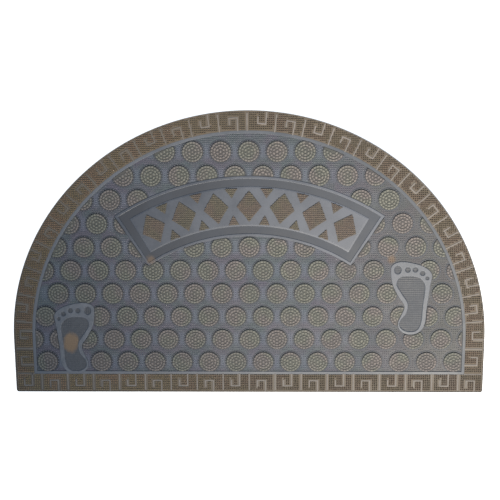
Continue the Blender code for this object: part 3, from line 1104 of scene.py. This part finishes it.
# As plainRubber, with a brown border whose paint is dirty and thin between the pins
def sheetRubber():
    finish = Finish("sheetRubber")
    clouds = finish.step(finish.noise(14.0, 4.0, 0.6), 0.35, 0.68)
    mottle = finish.noise(420.0, 2.0)
    ground = finish.mix(clouds * 0.6 + mottle * 0.5, *sheetColours["ground"])
    ground = finish.castOver(ground, sheetColours["groundCasts"], 36.0)
    # Painted highlight: the ground turns lighter and bluer half-way between the pads
    gap = finish.step(-1 * finish.padWave(), 0.25, 0.95) * 0.6
    ground = finish.mix(gap, ground, sheetColours["glintBetweenPads"])
    x = finish.axes()[0]
    # Painted light: the ground turns greyer and less blue towards the right
    ground = finish.mix(finish.step(x, 0.34, 0.04), sheetColours["rightLightTint"], ground)
    brown = finish.mix(clouds * 0.5 + mottle * 0.5, *sheetColours["border"])
    tone = finish.attribute("tone")
    tint = finish.mix(finish.step(tone, 0.2, 0.8), ground, brown)
    # Painted highlight: the lip turns greyer towards the right, standing in for the light along the right
    # edge
    highlightToRight = finish.step(x + (finish.noise(30.0, 2.0) - 0.5) * 0.1, 0.02, 0.25)
    lipHighlightShare = highlightToRight * finish.step(tone, 1.2, 1.8)
    tint = finish.mix(lipHighlightShare, tint, sheetColours["lipHighlight"])
    grain = finish.noise(2600.0, 2.0)
    return finish.wrap(tint, 0.55 + 0.15 * clouds, grain, 0.00008, 0.6)


footColours = {
    "rim": (colour(0.067, 0.074, 0.087), colour(0.120, 0.124, 0.137)),
    "hollow": (colour(0.029, 0.032, 0.039), colour(0.055, 0.058, 0.066)),
    "stainPlace": (-0.2835, -0.1425),
    "stainHalf": (0.0130, 0.0185),     # half its width and length
}


# The footprints' hollows are darker than their smooth rims; one sole keeps a brown stain
def footRubber():
    finish = Finish("footRubber")
    hollow = finish.attribute("tone")
    clouds = finish.step(finish.noise(30.0, 4.0, 0.6), 0.35, 0.68)
    mottle = finish.step(finish.noise(300.0, 3.0, 0.6), 0.3, 0.7)
    rim = finish.mix(clouds * 0.6 + mottle * 0.4, *footColours["rim"])
    deep = finish.mix(clouds * 0.6 + mottle * 0.5, *footColours["hollow"])
    tint = finish.mix(hollow, rim, deep)
    x, y = finish.axes()[:2]
    across = (x - footColours["stainPlace"][0]) / footColours["stainHalf"][0]
    up = (y - footColours["stainPlace"][1]) / footColours["stainHalf"][1]
    reach = (across * across + up * up) ** 0.5 + (finish.noise(120.0, 2.0) - 0.5) * 0.7
    stain = (1 - finish.step(reach, 0.62, 1.12)) * hollow * 0.95
    tint = finish.mix(stain, tint, rust)
    grain = finish.noise(2600.0, 2.0)
    rough = 0.46 + 0.08 * hollow + 0.12 * clouds
    return finish.wrap(tint, rough, grain, 0.00006, 0.6)


# side is (start, end, colour): from end to start in x the paint turns into that colour, painted light and
# shade by place
# Painted pins: bare rubber low down, paint on the tips, thinner on some pins and in some areas
def pinRubber(name, low, paint, worn, edge, side=None, between=None):
    finish = Finish(name)
    x, height = finish.axes()[::2]
    tone = finish.attribute("tone")
    blot = finish.noise(9.0, 3.0, 0.6)
    spots = finish.noise(900.0, 2.0)
    painted = finish.step(height + (spots - 0.5) * 0.0008, edge - 0.0007, edge)
    thin = finish.step(blot + (tone - 0.5) * 0.5 + (spots - 0.5) * 0.2, 0.30, 0.80)
    coat = finish.mix(thin, paint, worn)
    # Painted highlight: between makes the pins lighter half-way between the pads
    if between:
        gap = finish.step(-1 * finish.padWave(), 0.25, 0.95) * 0.7
        coat = finish.mix(gap, coat, between)
    # Painted light and shade: the paint changes by place across the mat
    if side:
        start, end, other = side
        coat = finish.mix(finish.step(x, start, end), other, coat)
    coat = finish.castOver(coat, faintCasts)
    tint = finish.mix(painted, low, coat)
    grain = finish.noise(3000.0, 2.0)
    return finish.wrap(tint, 0.62 + 0.15 * spots, grain, 0.00006, 0.6)


# Paint on the flat tops between the pins, dirty and a little pink or olive by place
def paintedRubber(name, dirty, clean):
    finish = Finish(name)
    clouds = finish.step(finish.noise(24.0, 3.0, 0.6), 0.35, 0.65)
    mottle = finish.noise(500.0, 3.0, 0.6)
    tone = finish.attribute("tone")
    tint = finish.mix(clouds * 0.4 + mottle * 0.6 + (tone - 0.5) * 0.3, dirty, clean)
    tint = finish.castOver(tint, faintCasts)
    grain = finish.noise(2600.0, 2.0)
    return finish.wrap(tint, 0.60 + 0.15 * mottle, grain, 0.00008, 0.6)


print("finishes")
sheetFinish = sheetRubber()
# Key lines: painted light, lighter towards the top; painted shade, darker and brown towards the upper
# left
lineFinish = plainRubber("lineRubber", paleRubber, colour(0.096, 0.076, 0.054), (-0.5, 1.3))
bannerFinish = plainRubber("bannerRubber", bannerRubber, None, (2.9, 0.0))   # lighter to the right: painted sheen
stripFinish = plainRubber("stripRubber", stripRubber, None, (-1.8, -0.3))      # lighter to the left: painted light
# Channel rubber: painted light, lighter towards the right and the top
channelFinish = plainRubber("channelRubber", darkRubber, None, (1.6, 0.8))
footFinish = footRubber()
# Border pins: painted light, the paint turns lighter and more orange towards the left
borderFinish = pinRubber(
    "borderPinPaint",
    low=colour(0.078, 0.060, 0.041),
    paint=colour(0.104, 0.075, 0.049),
    worn=colour(0.080, 0.060, 0.042),
    edge=0.0060,
    side=(-0.36, 0.12, colour(0.170, 0.115, 0.066)),
)
# Pins along the straight edge: painted light, the paint turns lighter and more orange towards the left
frontFinish = pinRubber(
    "frontPinPaint",
    low=colour(0.070, 0.054, 0.037),
    paint=colour(0.087, 0.062, 0.040),
    worn=colour(0.067, 0.050, 0.035),
    edge=0.0060,
    side=(-0.36, 0.12, colour(0.210, 0.145, 0.084)),
)
# Pad pins: painted shade, the paint turns darker towards the left
padFinish = pinRubber(
    "padPinPaint",
    low=colour(0.034, 0.036, 0.039),
    paint=colour(0.163, 0.149, 0.131),
    worn=colour(0.127, 0.119, 0.109),
    edge=0.0060,
    side=(-0.36, 0.12, colour(0.137, 0.127, 0.113)),
)
# Ground pins: painted light, greyer and less blue towards the right; painted highlights between the pads
groundFinish = pinRubber(
    "groundPinRubber",
    low=colour(0.036, 0.040, 0.047),
    paint=colour(0.140, 0.142, 0.157),
    worn=colour(0.094, 0.098, 0.111),
    edge=0.0049,
    side=(0.34, 0.04, colour(0.132, 0.126, 0.124)),
    between=colour(0.166, 0.178, 0.217),
)
lozengeFinish = pinRubber(
    "lozengePinPaint",
    low=colour(0.050, 0.046, 0.042),
    paint=colour(0.125, 0.098, 0.070),
    worn=colour(0.092, 0.076, 0.060),
    edge=0.0060,
)
padPlateFinish = paintedRubber(
    "padPlatePaint", colour(0.050, 0.048, 0.045), colour(0.076, 0.071, 0.063)
)
lozengePlateFinish = paintedRubber(
    "lozengePlatePaint", colour(0.058, 0.047, 0.036), colour(0.086, 0.069, 0.052)
)

print("base, strip and key lines")
makeBaseSheet(sheetFinish)
makeSmoothStrip(stripFinish)
rimMiddles, bottomMiddles = keyMiddles()
makeKeyLines(rimMiddles, bottomMiddles, lineFinish)

print("banner and footprints")
makeBannerRidge(bannerFinish)
makeBannerChannel(channelFinish)
makeBannerPanel(bannerFinish)
makeFootprint("footprintRight", 1, footFinish)
makeFootprint("footprintLeft", -1, footFinish)

print("pins")
lattice, middles = shownPads(padLattice())
plateRadius, plateTop = roundPads["diameter"] / 2, roundPads["plateTop"]
makeDiscs("padPlates", lattice, middles, plateRadius, plateTop, 0.0004, padPlateFinish)
# Painted shade: dark rings round the pads, in the gap before the ground pins
makeDiscs("padMoatShade", lattice, middles, roundPads["moat"], roundPads["moatShadeTop"], 0.0001, channelFinish)
makeLozengePlates(lozengePlateFinish)
padPlaces, padAlong = padPins(lattice)
makePins("padPins", padPlaces, "pad", padFinish, padAlong, roundPads["pinStretch"])
makePins("groundPins", lowPins(lattice), "ground", groundFinish)
bottomPlaces, rimPlaces = borderField(rimMiddles, bottomMiddles)
makePins("borderPinsStraight", bottomPlaces, "border", frontFinish)
makePins("borderPinsLeft", rimPlaces[rimPlaces[:, 0] < 0], "border", borderFinish)
makePins("borderPinsRight", rimPlaces[rimPlaces[:, 0] >= 0], "border", borderFinish)
makePins("lozengePins", lozengeField(), "lozenge", lozengeFinish)

studio = {
    "floorColour": colour(0.92, 0.92, 0.92),
    "floorGlow": 0.85,            # a lit table: the ground stays white close to the mat
    "lampPlace": (0.42, -1.35, 2.15),
    "lampAim": (0.315, 0.18, 0.0),
    "lampSize": 0.30,
    "lampPower": 515.0,
    "lampCone": math.radians(35),
    "lampColour": (1.0, 0.92, 0.80),
    "fillColour": (0.62, 0.82, 1.08, 1.0),
    "fillStrength": 0.59,
}


def makeStudio():
    points = np.array([[-6, -6, -0.0002], [6, -6, -0.0002], [6, 6, -0.0002], [-6, 6, -0.0002]])
    mesh = bpy.data.meshes.new("floor")
    mesh.from_pydata(points.tolist(), [], [(0, 1, 2, 3)])
    floorFinish = Finish("floorPaper")
    floorFinish.plug(floorFinish.shader.inputs["Emission Color"], colour(1.0, 1.0, 1.0))
    floorFinish.plug(floorFinish.shader.inputs["Emission Strength"], studio["floorGlow"])
    grain = floorFinish.noise(300.0, 3.0)
    tint = floorFinish.mix(grain, colour(0.90, 0.90, 0.90), studio["floorColour"])
    mesh.materials.append(floorFinish.wrap(tint, 0.9, grain, 0.0001, 0.3))
    floor = bpy.data.objects.new("floor", mesh)
    scene.collection.objects.link(floor)
    world = bpy.data.worlds.new("softRoom")
    world.use_nodes = True
    background = world.node_tree.nodes["Background"]
    background.inputs["Color"].default_value = studio["fillColour"]
    background.inputs["Strength"].default_value = studio["fillStrength"]
    scene.world = world
    lamp = bpy.data.lights.new("softLamp", "SPOT")
    lamp.spot_size = studio["lampCone"]
    lamp.spot_blend = 1.0
    lamp.shadow_soft_size = studio["lampSize"]
    lamp.energy = studio["lampPower"]
    lamp.color = studio["lampColour"]
    key = bpy.data.objects.new("softLamp", lamp)
    place = Matrix.Translation(studio["lampPlace"])
    aim = Matrix.Translation(studio["lampAim"]).to_translation() - place.to_translation()
    key.matrix_world = place @ aim.to_track_quat("-Z", "Y").to_matrix().to_4x4()
    scene.collection.objects.link(key)


cameraFit = {
    "lens": 72.0,
    "turns": (0.200634, -0.020766, 0.000689),   # about x, y and z, in radians
    "offset": (0.003573, 0.008356, 1.564955),
    "plane": 0.0065,                            # the fitted plane is the mat's upper side
}


def makeCamera():
    turnX, turnY, turnZ = cameraFit["turns"]
    tilt = Matrix.Rotation(turnY, 4, "Y") @ Matrix.Rotation(turnX, 4, "X")
    back = (Matrix.Rotation(turnZ, 4, "Z") @ tilt).transposed()
    centre = back @ Matrix.Translation(cameraFit["offset"]).to_translation()
    centre.z += cameraFit["plane"]
    lens = bpy.data.cameras.new("camera")
    lens.lens = cameraFit["lens"]
    lens.sensor_width = 36.0
    lens.clip_start, lens.clip_end = 0.05, 20.0
    camera = bpy.data.objects.new("camera", lens)
    camera.matrix_world = Matrix.Translation(centre) @ back
    scene.collection.objects.link(camera)
    scene.camera = camera


print("floor, light and camera")
makeStudio()
makeCamera()
scene.view_settings.view_transform = "Standard"
